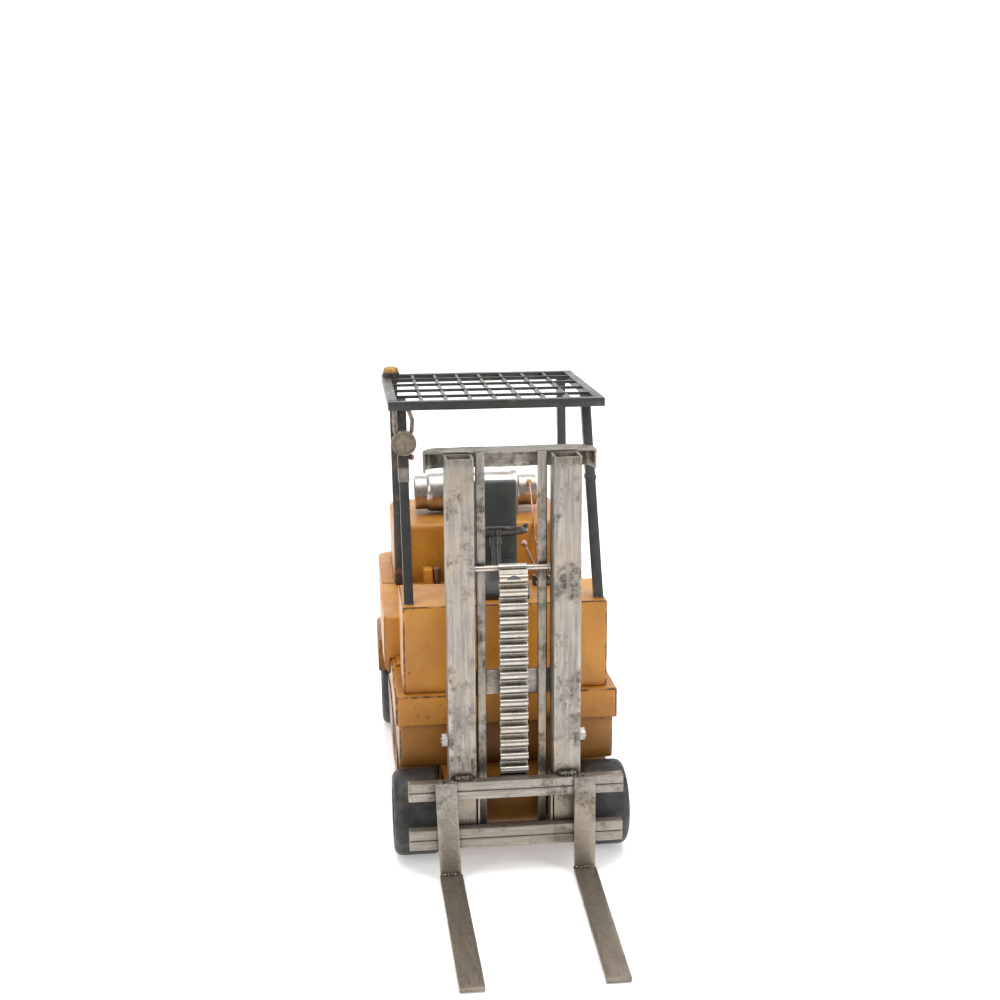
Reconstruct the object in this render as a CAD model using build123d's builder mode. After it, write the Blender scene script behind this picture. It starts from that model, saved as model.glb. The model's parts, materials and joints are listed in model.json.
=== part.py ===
"""Handmade tin forklift, about 1:12: body, overhead guard, mast, lift carriage, wheels and controls.

Millimetres. +Z is up, the forks point along -Y and the tail along +Y, and +X is the driver's left.
The origin is on the ground, at the middle of the bounding box.
"""
from build123d import *
import math
import os

os.makedirs("parts", exist_ok=True)

# ---- driving dimensions -------------------------------------------------------------------
fork_tip_y = -147.0
tail_y = 147.0
front_axle_y = -32.0
wheelbase = 155.0
rear_axle_y = front_axle_y + wheelbase

front_wheel_r = 18.15
rear_wheel_r = 17.5
tyre_outer_x = 50.2
tyre_width = 20.0
axle_r = 1.5
running_gap = 0.06          # radial clearance of every turning or sliding fit
sheet = 1.0                 # thickness of the folded body sheet

tub_half_x = 28.5
tub_front_y = -39.5
tub_z = (12.0, 35.4)

lower_half_x = 46.8
lower_front_y = -24.0
lower_z = (tub_z[1], 55.0)

board_half_x = 48.3
board_front_y = -27.0
board_top_z = 68.2

cowl_half_x = 44.2
cowl_y = (-23.0, 13.0)
cowl_top_z = 106.8

hood_half_x = 51.0
hood_y = (25.0, 83.9)
hood_top_z = 88.0
hood_skirt_z = 60.0

deck_top_z = 117.0
deck_half_x = 43.5

roof_shift_x = -1.5         # the hand-built guard stands a little off centre
roof_half_x = 46.2
roof_y = (-9.5, 83.3)
roof_top_z = 192.7
bar = 4.0                   # square bar of the guard
wire = 1.2                  # thin bars of the guard's grille

tube_x = (16.0, 27.4)       # inner and outer faces of a mast tube
mast_y = (-54.5, -42.5)     # front and back faces of the mast tubes
mast_z = (14.0, 176.0)
pivot_y = -48.5
pivot_z = 56.5
rail_x = (10.8, 14.6)

bar_half_x = 44.6           # carriage bars
bar_y = (-59.3, -54.8)
upper_bar_z = (34.5, 42.0)
lower_bar_z = (13.0, 21.4)
crosshead_y = -47.2
crosshead_z = 129.3

tank_y = 113.0
tank_z = 127.3
tank_r = 9.8

wheel_hub = (0.0, 18.0, 128.6)      # steering wheel centre
column_tilt = 20.0                  # degrees from upright, towards the driver


# ---- helpers ------------------------------------------------------------------------------
def save(piece, name):
    """Label the finished piece and write it as the node called name."""
    piece.part.label = name
    export_step(piece.part, f"parts/{name}.step")


def block(x_span, y_span, z_span, mode=Mode.ADD):
    """Put a box between the given limits into the part being built."""
    spans = (x_span, y_span, z_span)
    size = [high - low for low, high in spans]
    middle = [(high + low) / 2 for low, high in spans]
    with Locations(tuple(middle)):
        Box(*size, mode=mode)


def rod_x(radius, x_span, y, z, mode=Mode.ADD):
    """Put a cylinder that lies along X into the part being built."""
    middle = (x_span[0] + x_span[1]) / 2
    with Locations(Location((middle, y, z), (0, 90, 0))):
        Cylinder(radius, x_span[1] - x_span[0], mode=mode)


def rod_z(radius, x, y, z_span, mode=Mode.ADD):
    """Put an upright cylinder into the part being built."""
    with Locations((x, y, (z_span[0] + z_span[1]) / 2)):
        Cylinder(radius, z_span[1] - z_span[0], mode=mode)


def mirrored(span, side):
    """Return the X span on one side: side is -1 or +1."""
    return tuple(sorted((side * span[0], side * span[1])))


SIDES = (-1, 1)

# ---- chassis and body shells --------------------------------------------------------------
with BuildPart() as chassis_tub:
    block((-tub_half_x, tub_half_x), (tub_front_y, 140.0), tub_z)
    inner_x = tub_half_x - sheet
    block((-inner_x, inner_x), (tub_front_y + sheet, 140.0 - sheet), (0.0, tub_z[1] - sheet), Mode.SUBTRACT)
    for axle_y, axle_z in ((front_axle_y, front_wheel_r), (rear_axle_y, rear_wheel_r)):
        rod_x(axle_r + 0.02, (-tub_half_x - 1, tub_half_x + 1), axle_y, axle_z, Mode.SUBTRACT)
save(chassis_tub, "chassis_tub")

with BuildPart() as belly_plate:
    block((-tub_half_x, tub_half_x), (tub_front_y, 140.0), (tub_z[0] - 0.8, tub_z[0]))
save(belly_plate, "belly_plate")

with BuildPart() as lower_body:
    block((-lower_half_x, lower_half_x), (lower_front_y, hood_y[1]), lower_z)
    fillet(lower_body.edges().filter_by(Axis.Z).group_by(Axis.Y)[0], radius=1.5)
    inner_x = lower_half_x - sheet
    inner_y = (lower_front_y + sheet, hood_y[1] - sheet)
    block((-inner_x, inner_x), inner_y, (0.0, lower_z[1] - sheet), Mode.SUBTRACT)
    with BuildSketch(Plane.XY.offset(lower_z[0])):
        with Locations((0, (lower_front_y + hood_y[1]) / 2)):
            Rectangle(2 * lower_half_x - sheet, hood_y[1] - lower_front_y - sheet)
            Rectangle(2 * tub_half_x - 6, hood_y[1] - lower_front_y - 12, mode=Mode.SUBTRACT)
    extrude(amount=sheet)
save(lower_body, "lower_body")

with BuildPart() as running_board:
    block((-board_half_x, board_half_x), (board_front_y, hood_y[1]), (lower_z[1], board_top_z))
    fillet(running_board.edges().filter_by(Axis.Z).group_by(Axis.Y)[0], radius=2.0)
    fillet(running_board.faces().sort_by(Axis.Z)[-1].edges().group_by(Axis.Y)[0], radius=1.5)
    inner_x = board_half_x - sheet
    inner_y = (board_front_y + sheet, hood_y[1] - sheet)
    block((-inner_x, inner_x), inner_y, (0.0, board_top_z - sheet), Mode.SUBTRACT)
save(running_board, "running_board")

with BuildPart() as front_cowl:
    block((-cowl_half_x, cowl_half_x), cowl_y, (board_top_z, cowl_top_z))
    fillet(front_cowl.edges().filter_by(Axis.Z), radius=1.6)
    fillet(front_cowl.faces().sort_by(Axis.Z)[-1].edges(), radius=1.2)
    inner_x = cowl_half_x - sheet
    inner_y = (cowl_y[0] + sheet, cowl_y[1] - sheet)
    block((-inner_x, inner_x), inner_y, (0.0, cowl_top_z - sheet), Mode.SUBTRACT)
save(front_cowl, "front_cowl")

with BuildPart() as floor_plate:
    block((-46.0, 46.0), (cowl_y[1], hood_y[0]), (board_top_z, board_top_z + 1.2))
save(floor_plate, "floor_plate")

with BuildPart() as engine_hood:
    block((-hood_half_x, hood_half_x), hood_y, (hood_skirt_z, hood_top_z))
    fillet(engine_hood.edges().filter_by(Axis.Y).group_by(Axis.Z)[0], radius=5.5)
    fillet(engine_hood.faces().sort_by(Axis.Z)[-1].edges(), radius=1.2)
    inner_x = hood_half_x - sheet
    inner_y = (hood_y[0] + sheet, hood_y[1] - sheet)
    block((-inner_x, inner_x), inner_y, (board_top_z, hood_top_z - sheet), Mode.SUBTRACT)
    block((-board_half_x, board_half_x), (0.0, 100.0), (0.0, board_top_z), Mode.SUBTRACT)
save(engine_hood, "engine_hood")

# The tail shell steps in twice on its way up and has a guard over each rear wheel. Each block is
# (half width, front face, heights).
tail_foot_z = tub_z[1]
guard_front_y = 103.0
tail_blocks = (
    (47.0, hood_y[1], (tail_foot_z, 52.0)),
    (52.0, guard_front_y, (tail_foot_z, 52.0)),
    (50.0, hood_y[1], (52.0, hood_top_z)),
    (deck_half_x, hood_y[1], (hood_top_z, deck_top_z)),
)
arch_r = rear_wheel_r + 3.0
cavity_floor_z = rear_wheel_r + arch_r + 1.4
with BuildPart() as counterweight:
    for half_x, front_y, z_span in tail_blocks + ((52.0, guard_front_y, (15.0, tail_foot_z)),):
        with BuildSketch(Plane.XY.offset(z_span[0])) as outline:
            with Locations((0, (front_y + tail_y) / 2)):
                Rectangle(2 * half_x, tail_y - front_y)
            fillet(outline.vertices().group_by(Axis.Y)[-1], radius=9.0)
        extrude(amount=z_span[1] - z_span[0])
    fillet(counterweight.faces().sort_by(Axis.Z)[-1].edges(), radius=2.5)
    shaft_block = (deck_half_x, hood_y[1], (cavity_floor_z - sheet, deck_top_z))
    for half_x, front_y, z_span in tail_blocks + (shaft_block,):
        low = max(z_span[0] + sheet, cavity_floor_z)
        with BuildSketch(Plane.XY.offset(low)) as hollow:
            with Locations((0, (front_y + tail_y) / 2)):
                Rectangle(2 * (half_x - sheet), tail_y - front_y - 2 * sheet)
            fillet(hollow.vertices().group_by(Axis.Y)[-1], radius=8.0)
        extrude(amount=z_span[1] - sheet - low, mode=Mode.SUBTRACT)
    block((-60.0, 60.0), (hood_y[1] - 1, 142.0), (0.0, tail_foot_z), Mode.SUBTRACT)
    tub_gap_x = tub_half_x + 0.1
    block((-tub_gap_x, tub_gap_x), (hood_y[1] - 1, 142.0), (0.0, tail_foot_z + 0.1), Mode.SUBTRACT)
    for side in SIDES:
        rod_x(arch_r, mirrored((tub_half_x - 0.5, 60.0), side), rear_axle_y, rear_wheel_r, Mode.SUBTRACT)
save(counterweight, "counterweight")

# Step boxes between the wheels, tapered towards both wheels, with a foot step let into each.
step_profile = ((-7, tub_z[1]), (-4, 16), (84, 16), (98, 30), (98, tub_z[1]))
step_outer_x = board_half_x - 0.8
foot_step = ((41.0, 50.0), (8.0, 40.0), (22.0, 34.0))
with BuildPart() as step_hollow:
    with BuildSketch(Plane.YZ.offset(tub_half_x)):
        with BuildLine():
            Polyline(*step_profile, close=True)
        make_face()
        offset(amount=-sheet, mode=Mode.REPLACE)
    extrude(amount=step_outer_x - sheet - tub_half_x)
    block(*[(low - sheet, high + sheet) for low, high in foot_step], Mode.SUBTRACT)

with BuildPart() as side_steps:
    with BuildSketch(Plane.YZ.offset(tub_half_x)):
        with BuildLine():
            Polyline(*step_profile, close=True)
        make_face()
    extrude(amount=step_outer_x - tub_half_x)
    block(*foot_step, Mode.SUBTRACT)
    add(step_hollow.part, mode=Mode.SUBTRACT)
    mirror(about=Plane.YZ)
save(side_steps, "side_steps")

# ---- axles and wheels ---------------------------------------------------------------------
axles = ((front_axle_y, front_wheel_r), (rear_axle_y, rear_wheel_r))
hub_face_x = tyre_outer_x - 2.7
rim_x = tyre_outer_x - 1.1
disc_x = tyre_outer_x - 4.7

with BuildPart() as axle_shafts:
    for axle_y, axle_z in axles:
        rod_x(axle_r, (-49.9, 49.9), axle_y, axle_z)
        for side in SIDES:
            with BuildSketch(Plane.YZ.offset(side * (hub_face_x + 0.3))):
                with Locations((axle_y, axle_z)):
                    RegularPolygon(3.0, 6)
                    Circle(axle_r + 0.02, mode=Mode.SUBTRACT)
            extrude(amount=side * 2.0)
save(axle_shafts, "axles")


def make_tyre(radius, hub_r, side):
    """Return a tyre with bevelled shoulders and a shallow groove round its tread."""
    inner_x = tyre_outer_x - tyre_width
    with BuildPart() as tyre:
        with BuildSketch(Plane.XY):
            with BuildLine():
                Polyline((inner_x, hub_r), (inner_x, radius - 3.2), (inner_x + 2.2, radius - 0.6),
                         (inner_x + 3.4, radius), (tyre_outer_x - 3.4, radius),
                         (tyre_outer_x - 2.2, radius - 0.6), (tyre_outer_x, radius - 3.2),
                         (tyre_outer_x, hub_r + 1.2), (tyre_outer_x - 1.0, hub_r), close=True)
            make_face()
        revolve(axis=Axis.X)
        if side < 0:
            mirror(about=Plane.YZ, mode=Mode.REPLACE)
    return tyre.part


def make_hub(hub_r, side):
    """Return a dished disc wheel with a boss, bored to run on the axle."""
    inner_x = tyre_outer_x - tyre_width + 0.4
    with BuildPart() as hub:
        with BuildSketch(Plane.XY):
            with BuildLine():
                Polyline((inner_x, axle_r + running_gap), (inner_x, 5.0), (42.0, 5.0), (43.0, hub_r - 1.4),
                         (inner_x + 1.0, hub_r - 1.0), (inner_x + 1.0, hub_r), (rim_x, hub_r),
                         (rim_x, hub_r - 1.0), (disc_x, hub_r - 2.0), (disc_x, 4.2), (hub_face_x, 3.4),
                         (hub_face_x, axle_r + running_gap), close=True)
            make_face()
        revolve(axis=Axis.X)
        if side < 0:
            mirror(about=Plane.YZ, mode=Mode.REPLACE)
    return hub.part


for end, radius, hub_r, axle_y in (("front", front_wheel_r, 10.6, front_axle_y),
                                   ("rear", rear_wheel_r, 10.2, rear_axle_y)):
    for side, side_name in zip(SIDES, ("left", "right")):
        tyre_solid = make_tyre(radius, hub_r, side)
        hub_solid = make_hub(hub_r, side)
        with BuildPart(Location((0, axle_y, radius))) as tyre:
            add(tyre_solid)
        save(tyre, f"{end}_tyre_{side_name}")
        with BuildPart(Location((0, axle_y, radius))) as hub:
            add(hub_solid)
        save(hub, f"{end}_hub_{side_name}")

# ---- cab ----------------------------------------------------------------------------------
with BuildPart() as dashboard:
    with BuildSketch(Plane.YZ.offset(-11.0)):
        with BuildLine():
            Polyline((-17.0, cowl_top_z), (-17.0, 109.5), (-13.0, 113.5), (4.5, 115.5), (7.4, cowl_top_z),
                     close=True)
        make_face()
    extrude(amount=22.0)
    fillet(dashboard.edges().filter_by(Axis.X).group_by(Axis.Z)[-1], radius=1.0)
save(dashboard, "dashboard")

# The column leans back from the cowl to the wheel; its plane's Z axis runs up the column.
lean = math.radians(column_tilt)
column_up = (0, math.sin(lean), math.cos(lean))
column_plane = Plane(origin=wheel_hub, x_dir=(1, 0, 0), z_dir=column_up)
column_len = (wheel_hub[2] - cowl_top_z) / math.cos(lean) + 1.0
with BuildPart() as steering_column:
    with BuildSketch(column_plane.offset(-column_len)):
        Circle(2.0)
    extrude(amount=column_len - 2.5)
    with BuildSketch(column_plane.offset(-6.0)):
        Circle(2.7)
    extrude(amount=3.5)
    with BuildSketch(column_plane.offset(-14.0)):
        Circle(1.0 + running_gap)
    extrude(amount=14.0, mode=Mode.SUBTRACT)
    block((-10, 10), (-20, 40), (90, cowl_top_z), Mode.SUBTRACT)
save(steering_column, "steering_column")

wheel_r = 15.0
with BuildPart() as steering_wheel:
    with BuildSketch(column_plane.offset(-13.5)):
        Circle(1.0)
    extrude(amount=14.5)
    with BuildSketch(column_plane.offset(-2.0)):
        Circle(2.6)
    extrude(amount=2.8)
    with BuildSketch(Plane(origin=column_plane.origin, x_dir=column_plane.z_dir, z_dir=(1, 0, 0))):
        with Locations((0, wheel_r - 0.8)):
            Circle(0.8)
    revolve(axis=Axis(wheel_hub, column_up))
    with BuildSketch(column_plane.offset(-1.4)):
        with PolarLocations(wheel_r / 2 + 0.6, 3, start_angle=90):
            Rectangle(wheel_r - 2.8, 1.5)
    extrude(amount=1.0)
    with BuildSketch(column_plane):
        with Locations((wheel_r - 1.0, 0)):
            Circle(0.8)
    extrude(amount=1.6)
    with Locations(column_plane * Location((wheel_r - 1.0, 0, 2.2))):
        Sphere(1.3)
save(steering_wheel, "steering_wheel")

lever_pin_y = 6.5
lever_pin_z = 109.5
lever_pin_r = 0.8
eye_r = 1.6                 # outside of the eye that a lever turns on
with BuildPart() as lever_bracket:
    block((15.6, 27.4), (3.6, 9.4), (cowl_top_z, 107.4))
    for ear_x in (15.6, 20.9, 26.2):
        block((ear_x, ear_x + 1.2), (5.0, 8.0), (107.4, 110.9))
    rod_x(lever_pin_r, (15.6, 27.4), lever_pin_y, lever_pin_z)
save(lever_bracket, "lever_bracket")

for lever_name, eye_x, top_x in (("lift_lever", 18.85, 11.6), ("tilt_lever", 24.15, 18.2)):
    foot = (eye_x, lever_pin_y, lever_pin_z)
    top = (top_x, lever_pin_y, 126.0)
    reach = Vector(*top) - Vector(*foot)
    shaft_start = Vector(*foot) + reach.normalized() * (eye_r - 0.3)
    shaft_plane = Plane(origin=shaft_start, z_dir=reach)
    with BuildPart() as lever:
        rod_x(eye_r, (eye_x - 1.5, eye_x + 1.5), lever_pin_y, lever_pin_z)
        rod_x(lever_pin_r + running_gap, (eye_x - 3, eye_x + 3), lever_pin_y, lever_pin_z, Mode.SUBTRACT)
        with BuildSketch(shaft_plane):
            Circle(0.55)
        extrude(amount=reach.length - eye_r - 0.6)
        with Locations(Plane(origin=top, z_dir=reach).location):
            Sphere(1.5)
    save(lever, lever_name)

with BuildPart() as seat_base:
    block((-13.0, 13.0), (39.0, 68.0), (hood_top_z, 97.0))
    fillet(seat_base.edges().filter_by(Axis.Z), radius=2.0)
save(seat_base, "seat_base")

with BuildPart() as seat_cushion:
    block((-16.0, 16.0), (37.0, 65.5), (97.0, 103.5))
    fillet(seat_cushion.edges(), radius=2.0)
save(seat_cushion, "seat_cushion")

with BuildPart() as seat_back:
    with BuildSketch(Plane.YZ.offset(-16.0)):
        with BuildLine():
            Polyline((66.0, 98.0), (70.0, 141.0), (75.0, 141.0), (72.0, 98.0), close=True)
        make_face()
    extrude(amount=32.0)
    fillet(seat_back.edges().filter_by(Axis.X).group_by(Axis.Z)[-1], radius=1.8)
save(seat_back, "seat_back")

with BuildPart() as console_box:
    block((-29.6, -25.2), (71.0, 78.0), (hood_top_z, 97.4))
    fillet(console_box.faces().sort_by(Axis.Z)[-1].edges(), radius=0.6)
save(console_box, "console_box")

with BuildPart() as filler_cap:
    rod_z(1.5, -23.0, 73.0, (hood_top_z, 92.0))
    rod_z(2.0, -23.0, 73.0, (92.0, 98.3))
    fillet(filler_cap.faces().sort_by(Axis.Z)[-1].edges(), radius=1.2)
save(filler_cap, "filler_cap")

# ---- gas tank on the tail deck ------------------------------------------------------------
tank_x = (-26.5, 22.8)
collar_spans = ((-31.1, -25.2, 8.6), (21.6, 31.2, 7.9))
strap_stations = (-15.0, 20.0)
strap_width = 2.2

with BuildPart() as tank_body:
    rod_x(tank_r, tank_x, tank_y, tank_z)
    fillet(tank_body.edges().filter_by(GeomType.CIRCLE), radius=4.0)
with BuildPart() as tank_shell:
    add(tank_body.part)
    rod_x(tank_r - sheet, (tank_x[0] + 2.5, tank_x[1] - 2.5), tank_y, tank_z, Mode.SUBTRACT)
save(tank_shell, "tank_shell")

with BuildPart() as tank_collars:
    for low, high, collar_r in collar_spans:
        rod_x(collar_r, (low, high), tank_y, tank_z)
    for low, high, collar_r in collar_spans:
        rod_x(collar_r - 0.8, (low - 1, high + 1), tank_y, tank_z, Mode.SUBTRACT)
    add(tank_body.part, mode=Mode.SUBTRACT)
save(tank_collars, "tank_collars")

with BuildPart() as tank_cradles:
    for station in (-15.0, 14.5):
        block((station - 2.0, station + 2.0), (tank_y - 8.0, tank_y + 8.0), (deck_top_z, tank_z - 4.0))
    rod_x(tank_r, (-30.0, 30.0), tank_y, tank_z, Mode.SUBTRACT)
save(tank_cradles, "tank_cradles")

with BuildPart() as tank_straps:
    for station in strap_stations:
        span = (station - strap_width / 2, station + strap_width / 2)
        rod_x(tank_r + 0.7, span, tank_y, tank_z)
    block((-30.0, 30.0), (tank_y - 12.0, tank_y + 12.0), (110.0, tank_z - 5.0), Mode.SUBTRACT)
    for station in strap_stations:
        span = (station - strap_width / 2, station + strap_width / 2)
        for front in (-1, 1):
            leg = sorted((tank_y + front * 8.55, tank_y + front * 9.4))
            foot = sorted((tank_y + front * 8.55, tank_y + front * 12.0))
            block(span, leg, (deck_top_z, tank_z - 4.9))
            block(span, foot, (deck_top_z, deck_top_z + 0.7))
    add(tank_body.part, mode=Mode.SUBTRACT)
    add(tank_cradles.part, mode=Mode.SUBTRACT)
save(tank_straps, "tank_straps")

valve_x = 27.0
with BuildPart() as tank_valve:
    with BuildSketch(Plane.XZ.offset(-(tank_y - 5.8))):
        with Locations((valve_x, 133.0)):
            Circle(1.3)
    extrude(amount=3.7)
    add(tank_collars.part, mode=Mode.SUBTRACT)
save(tank_valve, "tank_valve")

# The copper gas pipe runs from the valve, down in front of the deck and into the hood.
pipe_route = (
    (valve_x, tank_y - 9.5, 133.0),
    (26.7, 96.0, 129.0),
    (26.4, 83.6, 118.0),
    (27.3, 79.8, 103.0),
    (28.2, 79.4, hood_top_z),
)


def widest_radii(route):
    """Return the largest arc radius that each inner corner of the route has room for."""
    points = [Vector(*point) for point in route]
    radii = []
    for before, corner, after in zip(points, points[1:], points[2:]):
        arriving = corner - before
        leaving = after - corner
        half_turn = math.radians(arriving.get_angle(leaving)) / 2
        radii.append(0.45 * min(arriving.length, leaving.length) / math.tan(half_turn))
    return radii


pipe_radii = widest_radii(pipe_route)
print("gas pipe radii", [round(radius, 1) for radius in pipe_radii])
with BuildPart() as gas_pipe:
    with BuildLine() as pipe_path:
        FilletPolyline(*pipe_route, radius=pipe_radii)
    with BuildSketch(Plane(origin=pipe_path.line @ 0, z_dir=pipe_path.line % 0)):
        Circle(0.4)
    sweep()
    add(tank_valve.part, mode=Mode.SUBTRACT)
save(gas_pipe, "gas_pipe")

# ---- overhead guard -----------------------------------------------------------------------
roof_x = (roof_shift_x - roof_half_x, roof_shift_x + roof_half_x)
roof_z = (roof_top_z - bar + 0.2, roof_top_z)
roof_inner_x = (roof_x[0] + bar, roof_x[1] - bar)
roof_inner_y = (roof_y[0] + bar, roof_y[1] - bar)
weld_gap = 0.05             # between the four beams, which stay separate bars

with BuildPart() as roof_frame:
    block(roof_x, (roof_y[0], roof_inner_y[0]), roof_z)
    block((roof_x[1] - 6.0, roof_x[1] + 1), (roof_y[0] + 0.7, roof_inner_y[0] - 0.7),
          (roof_z[0] + 0.7, roof_z[1] - 0.7), Mode.SUBTRACT)
    block(roof_x, (roof_inner_y[1], roof_y[1]), roof_z)
    for beam_x in ((roof_x[0], roof_inner_x[0]), (roof_inner_x[1], roof_x[1])):
        block(beam_x, (roof_inner_y[0] + weld_gap, roof_inner_y[1] - weld_gap), roof_z)
save(roof_frame, "roof_frame")

cross_bar_count = 4
long_bar_count = 7
with BuildPart() as roof_grille:
    for index in range(1, cross_bar_count + 1):
        middle = roof_y[0] + (roof_y[1] - roof_y[0]) * index / (cross_bar_count + 1)
        block(roof_inner_x, (middle - wire / 2, middle + wire / 2), (roof_top_z - wire, roof_top_z))
    for index in range(1, long_bar_count + 1):
        middle = roof_inner_x[0] + (roof_inner_x[1] - roof_inner_x[0]) * index / (long_bar_count + 1)
        bar_z = (roof_top_z - wire - 0.8, roof_top_z - 0.3)
        block((middle - wire / 2, middle + wire / 2), roof_inner_y, bar_z)
save(roof_grille, "roof_grille")


front_post_ends = (
    ((-41.1, -16.7, cowl_top_z), (roof_inner_x[0] + 2.0, 7.5, roof_top_z - wire)),
    ((41.1, -16.7, cowl_top_z), (roof_inner_x[1] - 2.0, 7.5, roof_top_z - wire)),
)
rear_post_ends = (
    ((-41.0, 81.3, hood_top_z), (roof_inner_x[0] + 1.3, 81.3, roof_z[0])),
    ((41.0, 81.3, hood_top_z), (roof_inner_x[1] - 1.3, 81.3, roof_z[0])),
)


def slanted_bar(ends, width, z_span):
    """Return the stretch of a slanted square bar that lies between two heights."""
    foot, head = (Vector(*end) for end in ends)
    points = []
    for z in z_span:
        share = (z - foot.Z) / (head.Z - foot.Z)
        points.append(foot + (head - foot) * share)
    with BuildPart() as stretch:
        for point in points:
            with BuildSketch(Plane.XY.offset(point.Z)):
                with Locations((point.X, point.Y)):
                    Rectangle(width, width)
        loft()
    return stretch.part


post_solids = [slanted_bar(ends, bar, (ends[0][2], ends[1][2])) for ends in front_post_ends + rear_post_ends]
# The right front post has a raised band, the left one a loose sleeve.
left_post, right_post = front_post_ends
sleeve_wall = 0.35
with BuildPart() as guard_posts:
    for solid in post_solids:
        add(solid)
    add(roof_grille.part, mode=Mode.SUBTRACT)
    add(roof_frame.part, mode=Mode.SUBTRACT)
    add(slanted_bar(right_post, bar + 2 * sleeve_wall, (156.2, 158.0)))
save(guard_posts, "guard_posts")

with BuildPart() as post_sleeve:
    add(slanted_bar(left_post, bar + 2 * sleeve_wall, (157.3, 168.0)))
    add(guard_posts.part, mode=Mode.SUBTRACT)
save(post_sleeve, "post_sleeve")

lamp_x = -41.3
lamp_z = 174.5
lamp_r = 5.3
lamp_y = (-7.6, -2.4)
lamp_plane = Plane(origin=(lamp_x, lamp_y[0], lamp_z), x_dir=(1, 0, 0), z_dir=(0, 1, 0))
with BuildPart() as lamp_housing:
    with BuildSketch(lamp_plane):
        Circle(lamp_r)
    extrude(amount=lamp_y[1] - lamp_y[0])
    fillet(lamp_housing.edges().group_by(Axis.Y)[-1], radius=2.4)
    with BuildSketch(lamp_plane):
        Circle(lamp_r - 0.7)
    extrude(amount=2.2, mode=Mode.SUBTRACT)
save(lamp_housing, "lamp_housing")

with BuildPart() as lamp_lens:
    with BuildSketch(lamp_plane.offset(0.7)):
        Circle(lamp_r - 0.72)
    extrude(amount=1.4)
save(lamp_lens, "lamp_lens")

# A block ties the lamp to the post and two bent arms hang it from the guard's corner.
with BuildPart() as lamp_bracket:
    block((lamp_x - 1.9, lamp_x + 1.9), (lamp_y[1], 1.0), (171.0, 178.0))
    for route in (
        ((-39.2, -7.5, roof_z[0]), (-37.6, -6.2, 184.5), (-37.8, -4.6, 179.6), (-38.6, -4.4, 177.9)),
        ((-45.2, -7.5, roof_z[0]), (-45.4, -6.2, 184.5), (-45.0, -4.6, 179.6), (-44.0, -4.4, 177.9)),
    ):
        with BuildLine() as arm_path:
            FilletPolyline(*route, radius=[1.6, 1.0])
        with BuildSketch(Plane(origin=arm_path.line @ 0, z_dir=arm_path.line % 0)):
            Circle(0.9)
        sweep(path=arm_path.line)
    for neighbour in (guard_posts, roof_frame, lamp_housing, lamp_lens):
        add(neighbour.part, mode=Mode.SUBTRACT)
save(lamp_bracket, "lamp_bracket")

with BuildPart() as indicator_lamp:
    with Locations((-38.0, 0.6, 167.2)):
        Sphere(1.35)
    rod_x(0.7, (-40.0, -38.0), 0.6, 167.2)
    for neighbour in (guard_posts, post_sleeve):
        add(neighbour.part, mode=Mode.SUBTRACT)
save(indicator_lamp, "indicator_lamp")

beacon_x, beacon_y = -43.4, 74.0
with BuildPart() as beacon_base:
    rod_z(4.0, beacon_x, beacon_y, (roof_top_z, roof_top_z + 2.1))
    fillet(beacon_base.edges().group_by(Axis.Z)[-1], radius=0.4)
save(beacon_base, "beacon_base")

dome_foot = roof_top_z + 2.1
with BuildPart() as beacon_dome:
    rod_z(3.7, beacon_x, beacon_y, (dome_foot, dome_foot + 2.7))
    fillet(beacon_dome.edges().group_by(Axis.Z)[-1], radius=2.2)
save(beacon_dome, "beacon_dome")

# ---- mast ---------------------------------------------------------------------------------
tongue_x = (20.0, 21.4)     # bracket tongue, which enters the tube through a slot in its back
tongue_half_z = 3.0
with BuildPart() as mast_brackets:
    with BuildSketch(Plane.YZ.offset(tongue_x[0])):
        with Locations((pivot_y, pivot_z)):
            Circle(4.2)
        with BuildLine():
            Polyline((pivot_y, pivot_z - tongue_half_z), (-40.6, pivot_z - tongue_half_z), (-38.6, 50.0),
                     (-38.6, tub_z[1]), (board_front_y, tub_z[1]), (board_front_y, pivot_z + tongue_half_z),
                     (pivot_y, pivot_z + tongue_half_z), close=True)
        make_face()
        with Locations((pivot_y, pivot_z)):
            Circle(axle_r + 0.02, mode=Mode.SUBTRACT)
    extrude(amount=tongue_x[1] - tongue_x[0])
    block((tongue_x[0], 26.0), (-38.6, board_front_y), (tub_z[1], tub_z[1] + 1.0))
    mirror(about=Plane.YZ)
save(mast_brackets, "mast_brackets")

# The bolt's head is inside the tube, and its nut shows outside.
nut_x = (tube_x[1] + 0.2, tube_x[1] + 2.5)
with BuildPart() as pivot_bolts:
    for side in SIDES:
        rod_x(2.6, mirrored((18.3, tongue_x[0]), side), pivot_y, pivot_z)
        rod_x(axle_r, mirrored((tongue_x[0], nut_x[1] + 0.5), side), pivot_y, pivot_z)
        with BuildSketch(Plane.YZ.offset(side * nut_x[0])):
            with Locations((pivot_y, pivot_z)):
                RegularPolygon(3.0, 6, rotation=30)
                Circle(axle_r + 0.02, mode=Mode.SUBTRACT)
        extrude(amount=side * (nut_x[1] - nut_x[0]))
save(pivot_bolts, "pivot_bolts")

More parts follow.
